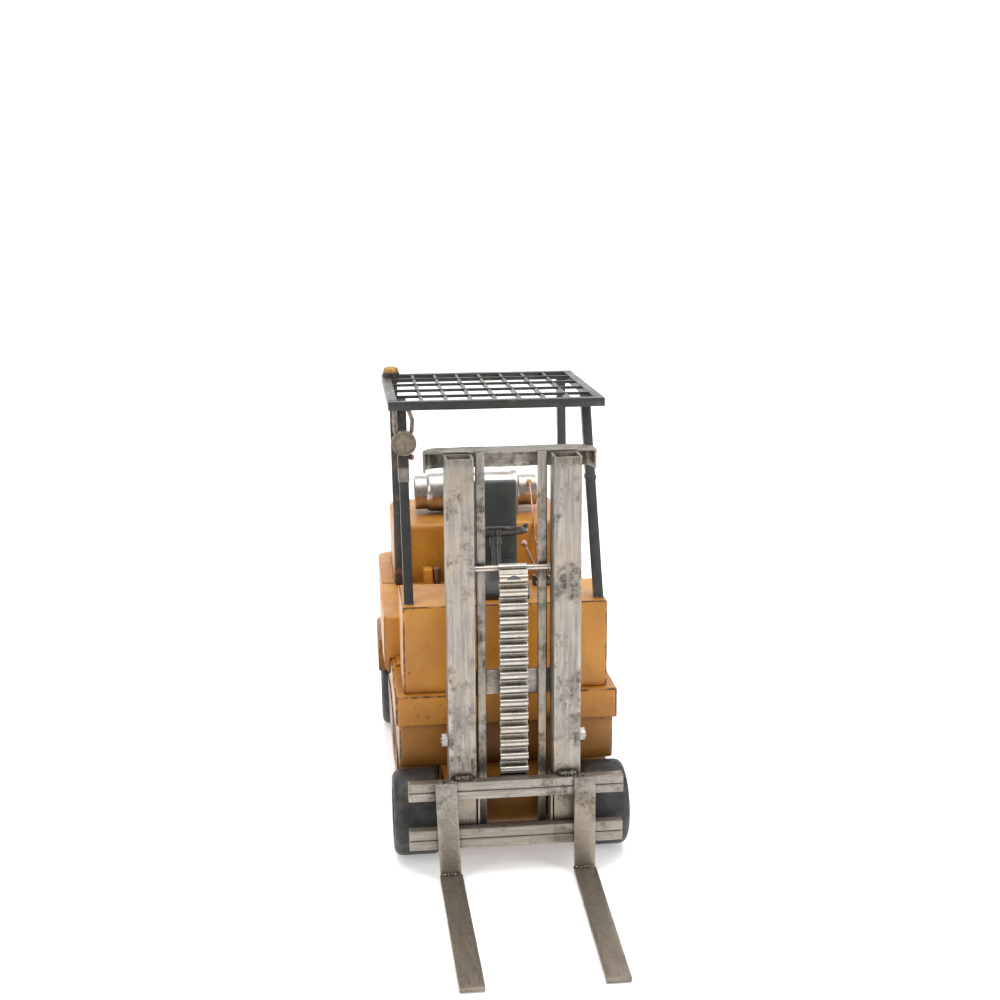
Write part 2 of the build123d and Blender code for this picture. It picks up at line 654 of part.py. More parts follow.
with BuildPart() as mast_tubes:
    for side in SIDES:
        block(mirrored(tube_x, side), mast_y, mast_z)
    fillet(mast_tubes.edges().filter_by(Axis.Z), radius=0.9)
    for side in SIDES:
        hollow_x = mirrored((tube_x[0] + sheet, tube_x[1] - sheet), side)
        block(hollow_x, (mast_y[0] + sheet, mast_y[1] - sheet), (0.0, 200.0), Mode.SUBTRACT)
        rod_x(axle_r + running_gap, mirrored((24.0, 30.0), side), pivot_y, pivot_z, Mode.SUBTRACT)
        slot_x = mirrored((tongue_x[0] - 0.8, tongue_x[1] + 0.8), side)
        slot_z = (pivot_z - tongue_half_z - 1.4, pivot_z + tongue_half_z + 1.4)
        block(slot_x, (mast_y[1] - 2.0, mast_y[1] + 1.0), slot_z, Mode.SUBTRACT)
save(mast_tubes, "mast_tubes")

beam_y = (mast_y[1], mast_y[1] + 11.0)
beam_z = (168.4, 177.0)
with BuildPart() as mast_top_beam:
    block((-35.3, 35.3), beam_y, beam_z)
    fillet(mast_top_beam.edges().filter_by(Axis.Z).group_by(Axis.Y)[-1], radius=7.0)
    fillet(mast_top_beam.faces().sort_by(Axis.Z)[-1].edges().group_by(Axis.Y)[-1], radius=0.8)
    with BuildSketch(Plane.XY.offset(beam_z[0] - 1)) as beam_hollow:
        with Locations((0, beam_y[0] + 4.0)):
            Rectangle(68.8, 12.1)
        fillet(beam_hollow.vertices().group_by(Axis.Y)[-1], radius=6.1)
    extrude(amount=beam_z[1] - beam_z[0] + 0.1, mode=Mode.SUBTRACT)
save(mast_top_beam, "mast_top_beam")

foot_z = (14.0, 16.0)       # plate that ties the rails' feet together
with BuildPart() as mast_rails:
    for side in SIDES:
        block(mirrored(rail_x, side), (mast_y[1] - 2.4, mast_y[1]), (foot_z[1], 176.6))
    fillet(mast_rails.edges().filter_by(Axis.Z), radius=0.5)
save(mast_rails, "mast_rails")

with BuildPart() as mast_braces:
    block((-tube_x[1], tube_x[1]), (mast_y[1], mast_y[1] + 1.6), (73.8, 84.2))
    block((-rail_x[1], rail_x[1]), (-50.0, mast_y[1]), foot_z)
save(mast_braces, "mast_braces")

# ---- lift carriage ------------------------------------------------------------------------
rod_r = 1.25
sleeve_r = 1.8
chain_half_x = 5.8
with BuildPart() as crosshead:
    rod_x(sleeve_r, (-chain_half_x, chain_half_x), crosshead_y, crosshead_z)
    rod_x(rod_r + 0.02, (-chain_half_x - 1, chain_half_x + 1), crosshead_y, crosshead_z, Mode.SUBTRACT)
    rod_x(rod_r, (-15.6, 15.6), crosshead_y, crosshead_z)
save(crosshead, "crosshead")

# The chain is a corrugated steel strip: half rings face forward and back in turn.
link_pitch = 5.9
link_count = 15
strip = 0.6
bend_r = link_pitch / 4
chain_back_y = crosshead_y - sleeve_r
chain_mid_y = chain_back_y - bend_r - strip / 2
chain_top_z = 127.4


def half_ring(y, z, facing):
    """Add half of a ring, its open side away from facing (-1 front, +1 back), to the sketch."""
    with BuildSketch(mode=Mode.PRIVATE) as ring:
        with Locations((y, z)):
            Circle(bend_r + strip / 2)
            Circle(bend_r - strip / 2, mode=Mode.SUBTRACT)
        with Locations((y + facing * bend_r * 2, z)):
            Rectangle(bend_r * 4, bend_r * 4, mode=Mode.INTERSECT)
    return ring.sketch


with BuildPart() as lift_chain:
    with BuildSketch(Plane.YZ.offset(-chain_half_x)):
        for index in range(link_count):
            ridge_z = chain_top_z - bend_r - index * link_pitch
            add(half_ring(chain_mid_y, ridge_z, -1))
            add(half_ring(chain_mid_y, ridge_z - 2 * bend_r, 1))
        with Locations((chain_mid_y, chain_top_z + 0.9)):
            Rectangle(strip, 2.2)
    extrude(amount=2 * chain_half_x)
    with BuildSketch(Plane.XZ.offset(-chain_mid_y)):
        with Locations((0, 125.6)):
            Ellipse(2.8, 1.7)
            Rectangle(5.6, 1.7, align=(Align.CENTER, Align.MIN), mode=Mode.INTERSECT)
    extrude(amount=4.0, mode=Mode.SUBTRACT)
save(lift_chain, "lift_chain")

with BuildPart() as carriage_bars:
    for z_span in (upper_bar_z, lower_bar_z):
        block((-bar_half_x, bar_half_x), bar_y, z_span)
        middle = (z_span[0] + z_span[1]) / 2
        groove_z = (middle - 0.25, middle + 0.25)
        block((-bar_half_x, bar_half_x), (bar_y[0], bar_y[0] + 0.5), groove_z, Mode.SUBTRACT)
save(carriage_bars, "carriage_bars")

# Each guide is a folded strip that runs inside a mast tube and hooks round behind it.
guide_x = (14.93, 15.68)
with BuildPart() as carriage_guides:
    for side in SIDES:
        block(mirrored(guide_x, side), (bar_y[1], -43.0), (17.0, 41.0))
        block(mirrored(guide_x, side), (-43.0, -41.4), (20.0, 36.0))
        block(mirrored((guide_x[0], 19.5), side), (-42.15, -41.4), (20.0, 36.0))
save(carriage_guides, "carriage_guides")

with BuildPart() as chain_anchor:
    block((-5.4, 5.4), (bar_y[1], chain_mid_y - bend_r - strip / 2), (35.0, 41.5))
save(chain_anchor, "chain_anchor")

shank_y = (-61.1, bar_y[0])
shank_half_width = 4.4
blade_half_width = 4.7
blade_z = (0.5, 2.3)
for fork_name, top_x, heel_x, tip_x in (("fork_left", -29.4, -27.7, -26.9), ("fork_right", 28.2, 28.4, 26.2)):
    with BuildPart() as fork:
        with BuildSketch(Plane.XZ.offset(-shank_y[1])):
            with BuildLine():
                Polyline((heel_x - shank_half_width, blade_z[0]), (heel_x + shank_half_width, blade_z[0]),
                         (top_x + shank_half_width, 42.5), (top_x - shank_half_width, 42.5), close=True)
            make_face()
        extrude(amount=shank_y[1] - shank_y[0])
        with BuildSketch(Plane.XY.offset(blade_z[0])):
            with BuildLine():
                Polyline((heel_x - blade_half_width, shank_y[0]), (heel_x + blade_half_width, shank_y[0]),
                         (tip_x + blade_half_width, fork_tip_y), (tip_x - blade_half_width, fork_tip_y),
                         close=True)
            make_face()
        extrude(amount=blade_z[1] - blade_z[0])
    save(fork, fork_name)
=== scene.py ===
"""Looks of the handmade tin forklift: camera, light, procedural materials and hand-formed sheet metal.

Metres, in the part's own frame: +Z up, forks towards -Y, tail towards +Y.
"""
import json
import math

import bmesh
import bpy
from mathutils import Matrix, Vector, noise


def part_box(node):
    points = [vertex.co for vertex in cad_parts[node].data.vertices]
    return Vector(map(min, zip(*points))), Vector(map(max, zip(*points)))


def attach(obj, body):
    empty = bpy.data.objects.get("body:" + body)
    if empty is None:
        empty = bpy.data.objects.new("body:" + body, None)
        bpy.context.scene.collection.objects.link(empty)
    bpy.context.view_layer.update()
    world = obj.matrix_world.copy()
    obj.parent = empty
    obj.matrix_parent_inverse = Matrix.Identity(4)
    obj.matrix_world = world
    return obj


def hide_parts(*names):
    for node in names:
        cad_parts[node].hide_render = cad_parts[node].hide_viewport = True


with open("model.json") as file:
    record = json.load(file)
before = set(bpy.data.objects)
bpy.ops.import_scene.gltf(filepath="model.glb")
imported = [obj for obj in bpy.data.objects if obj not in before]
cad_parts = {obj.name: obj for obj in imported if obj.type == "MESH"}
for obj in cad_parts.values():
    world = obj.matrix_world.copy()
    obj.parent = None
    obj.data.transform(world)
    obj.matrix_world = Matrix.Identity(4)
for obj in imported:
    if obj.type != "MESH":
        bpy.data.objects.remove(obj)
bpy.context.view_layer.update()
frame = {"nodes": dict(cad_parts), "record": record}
record = frame["record"]
MM = 0.001

BODY_OF = {node: body for body, nodes in record["behaviour"]["bodies"].items() for node in nodes}
SLOT_OF = {entry["node"]: entry["material_slot"] for entry in record["subparts"]}
SIDES = (("left", -1), ("right", 1))


# ---- camera -------------------------------------------------------------------------------
def make_camera():
    """Aim the camera from the front, a little above, with its small turn, pitch and roll."""
    turn, pitch, roll = (math.radians(angle) for angle in (6.33, 12.45, 0.34))
    ahead = Vector((math.sin(turn) * math.cos(pitch), math.cos(turn) * math.cos(pitch), -math.sin(pitch)))
    level_right = Vector((math.cos(turn), -math.sin(turn), 0))
    level_up = level_right.cross(ahead)
    right = level_right * math.cos(roll) - level_up * math.sin(roll)
    up = level_up * math.cos(roll) + level_right * math.sin(roll)
    place = Vector((-66.5, -602.35, 281.0)) * MM
    data = bpy.data.cameras.new("camera")
    data.sensor_width = 36
    data.lens = 51.2
    camera = bpy.data.objects.new("camera", data)
    turned = Matrix((right, up, -ahead)).transposed().to_4x4()
    camera.matrix_world = Matrix.Translation(place) @ turned
    bpy.context.scene.collection.objects.link(camera)
    bpy.context.scene.camera = camera


make_camera()


# ---- material tools -----------------------------------------------------------------------
class Look:
    """One material's node tree, with a short call for each kind of node used here."""

    def __init__(self, name, **constants):
        self.material = bpy.data.materials.new(name)
        self.material.use_nodes = True
        self.tree = self.material.node_tree
        self.shader = self.tree.nodes["Principled BSDF"]
        self.place = self.add("ShaderNodeTexCoord").outputs["Object"]
        for socket, value in constants.items():
            self.shader.inputs[socket.replace("_", " ")].default_value = value

    def add(self, kind, **settings):
        """A new node of this kind with its settings."""
        node = self.tree.nodes.new(kind)
        for key, value in settings.items():
            setattr(node, key, value)
        return node

    def feed(self, value, target):
        """Join a socket to the target, or set the target to a number or colour."""
        if isinstance(value, bpy.types.NodeSocket):
            self.tree.links.new(value, target)
        elif isinstance(value, tuple) and len(value) == 3 and target.type == "RGBA":
            target.default_value = (*value, 1.0)
        else:
            target.default_value = value

    def noise(self, size, detail=4.0, rough=0.55, stretch=(1, 1, 1), twist=0.0, shift=0.0):
        """Noise whose blotches are about size millimetres across, longer where stretch is over 1."""
        mapping = self.add("ShaderNodeMapping")
        self.feed(self.place, mapping.inputs["Vector"])
        mapping.inputs["Scale"].default_value = [1 / part for part in stretch]
        mapping.inputs["Location"].default_value = (shift, shift * 0.7, shift * 1.3)
        texture = self.add("ShaderNodeTexNoise")
        self.feed(mapping.outputs["Vector"], texture.inputs["Vector"])
        texture.inputs["Scale"].default_value = 1 / (size * MM)
        texture.inputs["Detail"].default_value = detail
        texture.inputs["Roughness"].default_value = rough
        texture.inputs["Distortion"].default_value = twist
        return texture.outputs["Fac"]

    def span(self, value, low, high, bottom=0.0, top=1.0):
        """Map low..high to bottom..top, clamped."""
        node = self.add("ShaderNodeMapRange")
        self.feed(value, node.inputs["Value"])
        for socket, number in (("From Min", low), ("From Max", high), ("To Min", bottom), ("To Max", top)):
            node.inputs[socket].default_value = number
        return node.outputs["Result"]

    def sums(self, operation, first, second):
        """One step of arithmetic, kept within 0..1."""
        node = self.add("ShaderNodeMath", operation=operation, use_clamp=True)
        self.feed(first, node.inputs[0])
        self.feed(second, node.inputs[1])
        return node.outputs["Value"]

    def mix(self, share, first, second):
        """The first colour at share 0, the second at share 1."""
        node = self.add("ShaderNodeMix", data_type="RGBA")
        self.feed(share, node.inputs["Factor"])
        self.feed(first, [s for s in node.inputs if s.name == "A" and s.type == "RGBA"][0])
        self.feed(second, [s for s in node.inputs if s.name == "B" and s.type == "RGBA"][0])
        return [s for s in node.outputs if s.type == "RGBA"][0]

    def edges(self, reach):
        """0 on flat stretches, rising towards 1 within reach millimetres of a fold or edge."""
        bevel = self.add("ShaderNodeBevel", samples=6)
        bevel.inputs["Radius"].default_value = reach * MM
        flat = self.add("ShaderNodeNewGeometry")
        dot = self.add("ShaderNodeVectorMath", operation="DOT_PRODUCT")
        self.feed(bevel.outputs["Normal"], dot.inputs[0])
        self.feed(flat.outputs["Normal"], dot.inputs[1])
        return self.sums("SUBTRACT", 1.0, dot.outputs["Value"])

    def crevices(self, reach):
        """1 deep in a corner or joint, 0 in the open."""
        node = self.add("ShaderNodeAmbientOcclusion", samples=6)
        node.inputs["Distance"].default_value = reach * MM
        return self.sums("SUBTRACT", 1.0, node.outputs["AO"])

    def height(self, low, high, bottom, top):
        """A number that goes from bottom to top between two heights in millimetres above the ground."""
        split = self.add("ShaderNodeSeparateXYZ")
        self.feed(self.place, split.inputs["Vector"])
        return self.span(split.outputs["Z"], low * MM, high * MM, bottom, top)

    def bumps(self, *layers):
        """Stack bumps: each layer is (height socket, strength, depth in millimetres)."""
        normal = None
        for value, strength, depth in layers:
            node = self.add("ShaderNodeBump")
            node.inputs["Strength"].default_value = strength
            node.inputs["Distance"].default_value = depth * MM
            self.feed(value, node.inputs["Height"])
            if normal:
                self.feed(normal, node.inputs["Normal"])
            normal = node.outputs["Normal"]
        self.feed(normal, self.shader.inputs["Normal"])

    def finish(self, colour, roughness):
        """Connect the two results and hand over the material."""
        self.feed(colour, self.shader.inputs["Base Color"])
        self.feed(roughness, self.shader.inputs["Roughness"])
        return self.material


# ---- materials ----------------------------------------------------------------------------
def painted_sheet(name, light, dark, worn, wear=0.5, gloss=0.42, patch=38.0, rubbed=0.0):
    """Enamel on folded tin: cloudy colour, painted shade low down and in corners, worn folds, small chips.

    Where rubbed is over 0 the whole surface is worn in patches. That is for the folds themselves.
    """
    look = Look(name, Coat_Weight=0.12, Coat_Roughness=0.25)
    clouds = look.noise(patch, detail=5, rough=0.6, twist=0.4)
    colour = look.mix(look.span(clouds, 0.34, 0.66), dark, light)
    strokes = look.noise(2.4, detail=3, stretch=(1, 1, 9))
    colour = look.mix(look.span(strokes, 0.35, 0.75, 0.0, 0.22), colour, dark)
    # A much darker copy of the dark colour, used for the painted shade.
    deep = tuple(part * 0.30 for part in dark)
    # Painted shade, growing from 66 mm down to 34 mm above the ground.
    painted_low_shade = look.sums("MULTIPLY", look.height(34, 66, 0.90, 0.0),
                         look.span(clouds, 0.25, 0.6, 1.0, 0.75))
    colour = look.mix(painted_low_shade, colour, deep)
    # Painted shade in corners and joints, laid on in patches.
    darkening = look.sums("MULTIPLY", look.crevices(11.0),
                     look.span(look.noise(7.0, shift=3.0), 0.25, 0.7, 0.45, 1.0))
    colour = look.mix(look.span(darkening, 0.10, 0.75, 0.0, 0.85), colour, deep)
    fold = look.edges(0.7)
    rub = look.sums("MULTIPLY", look.span(fold, 0.01, 0.09),
                    look.span(look.noise(3.2, detail=6), 0.34, 0.52))
    rub = look.sums("MULTIPLY", rub, wear * 1.9)
    if rubbed:
        patchy = look.span(look.noise(3.6, detail=6, rough=0.65, shift=6.0), 0.40, 0.54, 0.25, 1.0)
        rub = look.sums("MULTIPLY", patchy, rubbed)
    colour = look.mix(rub, colour, worn)
    chips = look.sums("MULTIPLY", look.span(look.noise(2.2, detail=5, shift=9.0), 0.66, 0.69),
                      look.span(look.noise(24.0, shift=5.0), 0.46, 0.60))
    colour = look.mix(chips, colour, tuple(part * 0.6 for part in worn))
    rough = look.span(look.noise(11.0, detail=5, shift=2.0), 0.3, 0.7, gloss - 0.09, gloss + 0.13)
    rough = look.sums("ADD", rough, look.sums("MULTIPLY", rub, 0.25))
    look.bumps((look.noise(16.0, detail=2), 0.35, 0.5), (strokes, 0.10, 0.08),
               (look.noise(0.45, detail=2), 0.08, 0.04), (look.sums("SUBTRACT", 1.0, chips), 0.5, 0.08))
    return look.finish(colour, rough)


def bare_steel(name, light, dark, burn_and_shade_colour, darkening=0.85, gloss=0.34, grain=(1, 1, 30), metallic=0.80, corner_shade=0.85):
    """Wire-brushed steel: fine streaks along the grain, faint heat stains, black burn marks, darker
    towards the bottom, and painted shade in hollows and corners.
    """
    look = Look(name, Metallic=metallic)
    streaks = look.noise(0.9, detail=8, rough=0.75, stretch=grain)
    fine = look.noise(0.30, detail=3, rough=0.6, stretch=grain, shift=4.0)
    cloud = look.noise(24.0, detail=4, rough=0.55, shift=1.0)
    broad = look.noise(5.0, detail=6, rough=0.7, shift=11.0,
                       stretch=tuple(max(1, part * 0.12) for part in grain))
    colour = look.mix(look.span(streaks, 0.36, 0.64), dark, light)
    colour = look.mix(look.span(broad, 0.40, 0.66, 0.0, 0.55), colour, dark)
    tan = tuple(a * b for a, b in zip(light, (0.90, 0.80, 0.66)))
    colour = look.mix(look.span(cloud, 0.48, 0.66, 0.0, 0.60), colour, tan)
    stain = look.sums("MULTIPLY",
                      look.span(look.noise(13.0, detail=8, rough=0.75, shift=7.0), 0.50, 0.61),
                      look.span(streaks, 0.36, 0.58))
    colour = look.mix(look.sums("MULTIPLY", stain, darkening), colour, burn_and_shade_colour)
    colour = look.mix(look.height(0, 46, 0.60, 0.0), colour, tuple(part * 0.50 for part in tan))
    # Painted shade deep in hollows, in the burnt colour.
    painted_hollow_shade = look.span(look.crevices(14.0), 0.50, 0.85, 0.0, 0.92)
    colour = look.mix(painted_hollow_shade, colour, burn_and_shade_colour)
    # Painted shade close in the corners, in the burnt colour.
    corner = look.span(look.crevices(3.4), 0.22, 0.80, 0.0, corner_shade)
    colour = look.mix(corner, colour, burn_and_shade_colour)
    fold = look.span(look.edges(0.5), 0.02, 0.18, 0.0, 0.45)
    colour = look.mix(look.sums("MULTIPLY", fold, look.span(fine, 0.4, 0.6)), colour,
                      tuple(min(1.0, part * 1.35) for part in light))
    rough = look.span(fine, 0.3, 0.7, gloss - 0.10, gloss + 0.14)
    rough = look.sums("ADD", rough, look.sums("MULTIPLY", stain, 0.22))
    look.bumps((look.noise(14.0, detail=2, shift=6.0), 0.25, 0.35), (streaks, 0.22, 0.10),
               (fine, 0.20, 0.04))
    return look.finish(colour, rough)


def black_enamel(name, base, worn, gloss=0.36, wear=0.7):
    """Black enamel, worn along its corners, with a little dust and a few rust freckles."""
    look = Look(name, Coat_Weight=0.15, Coat_Roughness=0.2)
    cloud = look.noise(13.0, detail=5, shift=2.0)
    lighter = tuple(part * 1.5 + 0.004 for part in base)
    colour = look.mix(look.span(cloud, 0.38, 0.68), base, lighter)
    rub = look.sums("MULTIPLY", look.span(look.edges(0.5), 0.02, 0.15),
                    look.span(look.noise(4.0, detail=6), 0.48, 0.62))
    rub = look.sums("MULTIPLY", rub, wear)
    colour = look.mix(rub, colour, worn)
    dust = look.span(look.noise(1.6, detail=6, shift=8.0), 0.55, 0.75, 0.0, 0.14)
    colour = look.mix(dust, colour, (0.16, 0.15, 0.13))
    rust = look.sums("MULTIPLY", look.span(look.noise(7.0, detail=7, rough=0.7, shift=14.0), 0.60, 0.66),
                     wear * 0.8)
    colour = look.mix(rust, colour, (0.20, 0.075, 0.045))
    rough = look.span(look.noise(5.0, detail=4), 0.3, 0.7, gloss - 0.08, gloss + 0.16)
    look.bumps((look.noise(6.0, detail=2), 0.25, 0.25), (look.noise(0.5, detail=2), 0.12, 0.05))
    return look.finish(colour, rough)


def rubber(name):
    """Dusty black rubber, greyer in patches and in its corners."""
    look = Look(name)
    dust = look.noise(6.0, detail=6, rough=0.65)
    colour = look.mix(look.span(dust, 0.40, 0.72), (0.014, 0.014, 0.015), (0.055, 0.052, 0.048))
    colour = look.mix(look.span(look.crevices(2.0), 0.35, 0.9, 0.0, 0.5), colour, (0.09, 0.08, 0.065))
    rough = look.span(look.noise(3.0, detail=4, shift=2.0), 0.3, 0.7, 0.42, 0.68)
    look.bumps((look.noise(2.6, detail=3), 0.15, 0.15), (look.noise(0.35, detail=2), 0.22, 0.05))
    return look.finish(colour, rough)


def polished_tin(name, base, haze):
    """Hand-polished tin: near-mirror, with soft waves, haze and a few tarnish freckles."""
    look = Look(name, Metallic=1.0)
    cloud = look.noise(7.0, detail=5, rough=0.6, twist=0.4)
    colour = look.mix(look.span(cloud, 0.42, 0.70, 0.0, 0.75), base, haze)
    freckle = look.span(look.noise(1.5, detail=5, shift=5.0), 0.66, 0.72, 0.0, 0.8)
    colour = look.mix(freckle, colour, (0.14, 0.10, 0.07))
    # Painted shade in the corners.
    colour = look.mix(look.span(look.crevices(1.8), 0.35, 0.95, 0.0, 0.75), colour, (0.07, 0.05, 0.04))
    rough = look.span(look.noise(4.0, detail=5, shift=1.0), 0.3, 0.7, 0.20, 0.40)
    look.bumps((look.noise(5.0, detail=2), 0.20, 0.22),
               (look.noise(0.5, detail=3, stretch=(1, 7, 7)), 0.10, 0.03))
    return look.finish(colour, rough)


def plain_metal(name, base, dark, gloss=0.28, metallic=0.95, patch=3.0, burn=None):
    """Small drawn or turned metal, tarnished in patches, with painted shade in the corners.

    Burn is the pair of heights, in millimetres, over which the metal turns black.
    """
    look = Look(name, Metallic=metallic)
    tarnish = look.noise(patch, detail=6, rough=0.65)
    colour = look.mix(look.span(tarnish, 0.44, 0.68), base, dark)
    if burn:
        colour = look.mix(look.height(*burn, 0.0, 0.8), colour, (0.05, 0.042, 0.036))
    # Painted shade in the corners.
    colour = look.mix(look.span(look.crevices(1.6), 0.35, 0.95, 0.0, 0.7), colour,
                      tuple(part * 0.25 for part in dark))
    rough = look.span(look.noise(1.0, detail=4, shift=3.0), 0.3, 0.7, gloss - 0.08, gloss + 0.14)
    look.bumps((look.noise(0.6, detail=4), 0.18, 0.05))
    return look.finish(colour, rough)


def tinted_lens(name, base, deep, clear=0.45, gloss=0.12):
    """Cast plastic or glass lens: tinted, slightly cloudy, with a few rubbed marks."""
    look = Look(name, Transmission_Weight=clear, IOR=1.49, Coat_Weight=0.4)
    cloud = look.noise(1.8, detail=4)
    colour = look.mix(look.span(cloud, 0.35, 0.7), base, deep)
    rough = look.span(look.noise(0.8, detail=4, shift=2.0), 0.3, 0.7, gloss, gloss + 0.2)
    look.bumps((look.noise(0.9, detail=2), 0.15, 0.06))
    return look.finish(colour, rough)


def weld_metal(name):
    """Weld bead: blue-black scale with bright and straw-coloured ripples."""
    look = Look(name, Metallic=0.75)
    ripple = look.noise(0.8, detail=5, rough=0.7)
    colour = look.mix(look.span(ripple, 0.46, 0.68), (0.022, 0.020, 0.020), (0.36, 0.32, 0.27))
    straw = look.span(look.noise(2.2, detail=4, shift=3.0), 0.56, 0.70, 0.0, 0.6)
    colour = look.mix(straw, colour, (0.38, 0.22, 0.10))
    rough = look.span(look.noise(0.6, detail=4, shift=5.0), 0.3, 0.7, 0.28, 0.58)
    look.bumps((ripple, 0.4, 0.15))
    return look.finish(colour, rough)


# Light, dark and worn or burnt colour of each painted sheet and steel. A steel's burnt colour is also
# painted as shade in its hollows and corners.
OCHRE = ((0.60, 0.262, 0.026), (0.42, 0.160, 0.015), (0.030, 0.013, 0.007))
HUB_BROWN = ((0.36, 0.140, 0.032), (0.20, 0.075, 0.020), (0.05, 0.02, 0.01))
RUST_RED = ((0.22, 0.085, 0.035), (0.12, 0.045, 0.020), (0.04, 0.02, 0.01))
STEEL = ((0.50, 0.465, 0.42), (0.235, 0.212, 0.19), (0.022, 0.019, 0.017))
BRIGHT = ((0.76, 0.73, 0.69), (0.42, 0.38, 0.34), (0.03, 0.025, 0.02))
# Heights, in millimetres, over which the loose sleeve on the left front post turns black.
SLEEVE_BURN = (162.4, 163.6)
LOOKS = {
    "ochre_paint": painted_sheet("ochre_paint", *OCHRE),
    "hub_paint": painted_sheet("hub_paint", *HUB_BROWN, wear=0.8),
    "rust_paint": painted_sheet("rust_paint", *RUST_RED, wear=0.8),
    "black_paint": black_enamel("black_paint", (0.018, 0.020, 0.019), (0.17, 0.12, 0.085)),
    "black_trim": black_enamel("black_trim", (0.016, 0.017, 0.017), (0.12, 0.11, 0.10), 0.26, 0.4),
    "seat_paint": black_enamel("seat_paint", (0.022, 0.027, 0.025), (0.11, 0.11, 0.10), 0.32, 0.45),
    "burnt_steel": bare_steel("burnt_steel", *STEEL),
    "bright_steel": bare_steel("bright_steel", *BRIGHT, darkening=0.35, gloss=0.20, grain=(20, 1, 1),
                               metallic=0.95, corner_shade=0.97),
    "sleeve_metal": plain_metal("sleeve_metal", (0.44, 0.41, 0.37), (0.24, 0.21, 0.18), gloss=0.36,
                                burn=SLEEVE_BURN),
    "fastener_steel": plain_metal("fastener_steel", (0.46, 0.44, 0.41), (0.20, 0.175, 0.15)),
    "polished_tank": polished_tin("polished_tank", (0.52, 0.48, 0.45), (0.32, 0.255, 0.21)),
    "brass_fitting": plain_metal("brass_fitting", (0.62, 0.43, 0.18), (0.32, 0.20, 0.09)),
    "copper_pipe": plain_metal("copper_pipe", (0.66, 0.36, 0.24), (0.36, 0.17, 0.10)),
    "dull_tin": plain_metal("dull_tin", (0.28, 0.22, 0.17), (0.10, 0.075, 0.055), gloss=0.42,
                            metallic=0.7),
    "lever_metal": plain_metal("lever_metal", (0.52, 0.34, 0.27), (0.26, 0.16, 0.12)),
    "smoked_glass": tinted_lens("smoked_glass", (0.24, 0.185, 0.125), (0.12, 0.09, 0.06), clear=0.10,
                                gloss=0.36),
    "red_lens": tinted_lens("red_lens", (0.36, 0.035, 0.07), (0.16, 0.015, 0.04)),
    "amber_lens": tinted_lens("amber_lens", (0.72, 0.40, 0.05), (0.48, 0.22, 0.02)),
    "tyre_rubber": rubber("tyre_rubber"),
}
# The same steel, brushed along the length of each bar and blade.
ACROSS = bare_steel("burnt_steel_across", *STEEL, grain=(30, 1, 1))
AHEAD = bare_steel("burnt_steel_ahead", *STEEL, grain=(1, 30, 1))
RUBBED = {"ochre_paint": painted_sheet("ochre_paint_rubbed", *OCHRE, rubbed=0.9)}
BRUSHED = {"carriage_bars": ACROSS, "mast_top_beam": ACROSS, "mast_braces": ACROSS,
           "fork_left": AHEAD, "fork_right": AHEAD}
WELD = weld_metal("weld_metal")


def look_of(node):
    """The material a CAD node wears: its slot's, or that steel brushed the node's own way."""
    return BRUSHED.get(node, LOOKS[SLOT_OF[node]])


def dress(piece, node):
    """Let a new piece stand for a CAD node: same body, same slot, its material."""
    piece.data.materials.append(look_of(node))
    piece.data.materials.append(RUBBED.get(SLOT_OF[node], look_of(node)))
    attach(piece, BODY_OF[node])


for node, item in frame["nodes"].items():
    material = look_of(node)
    if not item.material_slots:
        item.data.materials.append(material)
    for slot in item.material_slots:
        slot.material = material


# ---- shape tools --------------------------------------------------------------------------
CORNER_ANGLE = math.radians(28)
LARGEST_SLANT = 0.93


def put(name, shape, smooth_below=34):
    """Turn a bmesh into an object whose folds sharper than smooth_below degrees stay crisp."""
    mesh = bpy.data.meshes.new(name)
    shape.normal_update()
    shape.to_mesh(mesh)
    shape.free()
    mesh.polygons.foreach_set("use_smooth", [True] * len(mesh.polygons))
    mesh.set_sharp_from_angle(angle=math.radians(smooth_below))
    piece = bpy.data.objects.new(name, mesh)
    bpy.context.scene.collection.objects.link(piece)
    return piece


def hand_formed(node, fold=0.6, dent=0.22, cell=5.0, wave=17.0, rub=False):
    """Remake a sheet or bar node by hand: rounded folds, and dents about dent millimetres deep.

    Edges sharper than CORNER_ANGLE become folds and get the rubbed paint. Where rub is true, so does
    every face whose normal's largest part is under LARGEST_SLANT, such as the node's own roundings.
    """
    source = frame["nodes"][node].data
    shape = bmesh.new()
    shape.from_mesh(source)
    bmesh.ops.remove_doubles(shape, verts=shape.verts, dist=0.002 * MM)
    for face in shape.faces:
        face.material_index = 0
    bmesh.ops.dissolve_limit(shape, angle_limit=math.radians(1.0), verts=shape.verts, edges=shape.edges)
    corners = [edge for edge in shape.edges
               if edge.is_manifold and edge.calc_face_angle(0) > CORNER_ANGLE]
    bmesh.ops.bevel(shape, geom=corners, offset=fold * MM, segments=3, affect="EDGES", profile=0.5,
                    clamp_overlap=True, offset_type="OFFSET", material=1)
    low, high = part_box(node)
    if dent:
        for axis in range(3):
            count = int((high[axis] - low[axis]) / (cell * MM))
            across = Vector([float(index == axis) for index in range(3)])
            for step in range(1, count + 1):
                point = low.copy()
                point[axis] += (high[axis] - low[axis]) * step / (count + 1)
                everything = shape.verts[:] + shape.edges[:] + shape.faces[:]
                bmesh.ops.bisect_plane(shape, geom=everything, dist=1e-7, plane_co=point, plane_no=across)
        shape.normal_update()
        for vert in shape.verts:
            broad = noise.noise(vert.co / (wave * MM))
            small = noise.noise(vert.co / (wave * 0.35 * MM) + Vector((7, 3, 5)))
            vert.co += vert.normal * ((broad + 0.3 * small) * dent * MM)
    if rub:
        shape.normal_update()
        for face in shape.faces:
            if max(abs(part) for part in face.normal) < LARGEST_SLANT:
                face.material_index = 1
    bmesh.ops.triangulate(shape, faces=[face for face in shape.faces if len(face.verts) > 4])
    piece = put(f"{node}_formed", shape)
    dress(piece, node)
    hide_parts(node)


